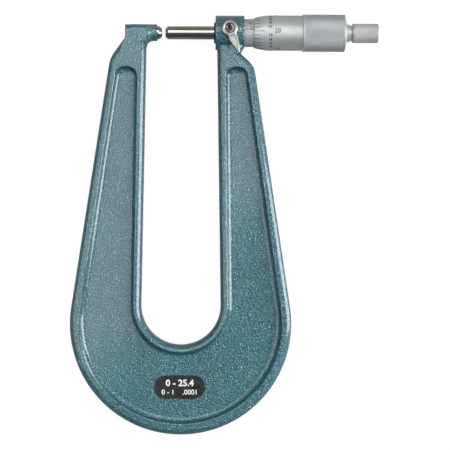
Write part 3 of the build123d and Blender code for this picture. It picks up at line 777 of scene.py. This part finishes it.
# The datum line, a tick for each turn of the thimble, and a number at each tenth of an inch.
def makeSleeveScale():
    half, size = scale["tickWidth"] / 2, scale["sleeveNumberSize"]
    numberY = scale["longTickLength"] + size * scale["sleeveNumberShift"]
    parts = [slab(scale["datumStart"], scale["datumEnd"], half, scale["datumSteps"])]
    for index in range(scale["ticks"] + 1):
        x = scale["zeroX"] + index * scale["tick"]
        number, between = divmod(index, scale["ticksPerNumber"])
        length = scale["tickLength" if between else "longTickLength"]
        parts.append(crossBar(x, length, half, scale["tickSteps"]))
        if not between:
            parts.append(numeral(str(number % 10), size, x, numberY))
    flat = joined(parts)
    points, triangles = wrapped(flat, scale["datumAngle"], lambda x: np.full_like(x, scale["sleeveRadius"]))
    finishPiece(meshFromFaces("sleeve_scale", points, triangles), "scaleInk", "frame")


# The divisions round the bevel, each with its number, main at each fifth. The reading at rest sets where they
# stand.
def makeThimbleScale():
    divisions, half = scale["divisions"], scale["markWidth"] / 2
    reading = (thimble["start"] - scale["zeroX"]) / scale["tick"] * divisions
    first = thimble["start"] + scale["markInset"]
    parts = []
    for index in range(divisions):
        angle = scale["datumAngle"] + (index - reading) / divisions * 2 * math.pi
        look = scale["between" if index % scale["divisionsPerMain"] else "main"]
        mark = slab(first, first + look["length"], half, scale["markSteps"])
        number = numeral(str(index), look["numberSize"], look["numberX"], align="LEFT", bold=look["bold"])
        parts += [wrapped(mark, angle, bevelRadius), wrapped(number, angle, bevelRadius)]
    finishPiece(meshFromFaces("thimble_scale", *joined(parts)), "scaleInk", "screw")


makeSleeveScale()
makeThimbleScale()
print("scales made")


# Numbers on the plate. They stay flat, so no edge is long enough to be cut.
plateLow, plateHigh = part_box("name_plate")
plate = {
    "lines": (
        {"text": "0 - 25.4", "size": 4.4 * mm, "bold": 0.12 * mm, "y": 1.9 * mm},
        {"text": "0 - 1    .0001", "size": 3.4 * mm, "bold": 0.05 * mm, "y": -2.5 * mm},
    ),
    "longestEdge": 1.0,
}


def makePlateNumbers():
    middle = (plateLow + plateHigh) / 2
    points, triangles = joined([
        numeral(
            line["text"], line["size"], middle.x, middle.y + line["y"],
            bold=line["bold"], longestEdge=plate["longestEdge"],
        )
        for line in plate["lines"]
    ])
    points[:, 2] += plateHigh.z
    finishPiece(meshFromFaces("plate_numbers", points, triangles), "plateWhite", "frame")


makePlateNumbers()
print("plate numbers made")


# Floor, light and camera
studio = {
    "floorZ": -9.02 * mm,
    "floorSize": 12.0,
    "floorColour": (0.35, 0.35, 0.35, 1.0),
    "floorRoughness": 0.9,
    "glowShare": 0.72,
    "glow": {"Color": (1.0, 1.0, 1.0, 1.0), "Strength": 1.3},
    "wallDark": (0.03, 0.03, 0.034),
    "wallLight": (0.44, 0.45, 0.46),
    "lightSide": (0.9, 0.45, 0.0),
    "lightRange": (-0.7, 0.9),
    "target": (31.13 * mm, -93.8 * mm, 0.0),
    "roll": math.radians(0.2),
    "cameraHeight": 600 * mm,
    "clipStart": 10 * mm,
    "pictureWidth": 219.8 * mm,
    "sensor": 36.0,
    "lampDistance": 1.3,
}
# For each lamp, the direction from the target to it, the direction its first side runs along, both sides in
# metres and its power in watts.
lamps = {
    # Large and weak, mirrored in the flats of the paint; its edge runs across them.
    "overheadLamp": ((-0.322, 0.145, 1.0), (0.707, 0.707, 0.0), (1.54, 0.89), 9.2),
    # Narrow, for the bright line along the spindle and the thimble.
    "stripLamp": ((-0.05, 0.5, 1.0), (1.0, 0.0, 0.0), (1.3, 0.2), 1.5),
    # Low and strong, for the white lines on the walls that face right.
    "rightLamp": ((1.0, 0.0, 0.55), (-0.55, 0.0, 1.0), (1.4, 0.50), 22.0),
    # Very narrow, for the thin lines on the walls that face left.
    "leftLamp": ((-1.0, 0.0, 0.9), (0.0, 1.0, 0.0), (1.2, 0.05), 2.2),
}


# A grey floor. Only the camera sees its glow, which turns it white in the picture and doesn't light the part.
def makeFloor():
    half, z = studio["floorSize"] / 2, studio["floorZ"]
    points = np.array([[-half, -half, z], [half, -half, z], [half, half, z], [-half, half, z]])
    mesh = meshFromFaces("floor", points, np.array([[0, 1, 2, 3]]))
    material, tree, shader, _ = newMaterial("paleFloor")
    shader.inputs["Base Color"].default_value = studio["floorColour"]
    shader.inputs["Roughness"].default_value = studio["floorRoughness"]
    glow = addNode(tree, "ShaderNodeEmission", studio["glow"])
    path = tree.nodes.new("ShaderNodeLightPath")
    share = mathNode(tree, "MULTIPLY", path.outputs["Is Camera Ray"], studio["glowShare"])
    mixed = addNode(tree, "ShaderNodeMixShader", {0: share, 1: shader.outputs[0], 2: glow.outputs[0]})
    tree.links.new(mixed.outputs[0], tree.nodes["Material Output"].inputs["Surface"])
    mesh.materials.append(material)
    floor = bpy.data.objects.new("floor", mesh)
    bpy.context.scene.collection.objects.link(floor)


# Studio walls: lighter towards lightSide, darker away from it.
def makeWorld():
    world = bpy.data.worlds.new("studio")
    world.use_nodes = True
    tree = world.node_tree
    direction = tree.nodes.new("ShaderNodeTexCoord").outputs["Generated"]
    across = vectorMath(tree, "DOT_PRODUCT", direction, studio["lightSide"]).outputs["Value"]
    share = mapRange(tree, across, *studio["lightRange"])
    colour = mixColour(tree, share, studio["wallDark"], studio["wallLight"])
    tree.links.new(colour, tree.nodes["Background"].inputs["Color"])
    tree.nodes["Background"].inputs["Strength"].default_value = 1.0
    bpy.context.scene.world = world


# An oblong soft lamp at lampDistance from the target, facing it. Its first side runs along the direction along
# as far as it can.
def makeLamp(name, direction, along, size, power):
    lamp = bpy.data.lights.new(name, "AREA")
    lamp.shape = "RECTANGLE"
    lamp.size, lamp.size_y = size
    lamp.energy = power
    holder = bpy.data.objects.new(name, lamp)
    away = Vector(direction).normalized()
    side = (Vector(along) - away * away.dot(Vector(along))).normalized()
    holder.location = Vector(studio["target"]) + away * studio["lampDistance"]
    holder.rotation_euler = Matrix((side, away.cross(side), away)).transposed().to_euler()
    holder.visible_camera = False
    bpy.context.scene.collection.objects.link(holder)


# Looks straight down on the target. The lens shows pictureWidth at the target's height.
def makeCamera():
    data = bpy.data.cameras.new("camera")
    data.sensor_width = studio["sensor"]
    data.lens = studio["sensor"] * studio["cameraHeight"] / studio["pictureWidth"]
    data.clip_start = studio["clipStart"]
    holder = bpy.data.objects.new("camera", data)
    holder.location = (studio["target"][0], studio["target"][1], studio["cameraHeight"])
    holder.rotation_euler = (0.0, 0.0, studio["roll"])
    bpy.context.scene.collection.objects.link(holder)
    bpy.context.scene.camera = holder


makeFloor()
makeWorld()
for lampName, settings in lamps.items():
    makeLamp(lampName, *settings)
makeCamera()
bpy.context.scene.view_settings.view_transform = "Standard"
print("studio set")
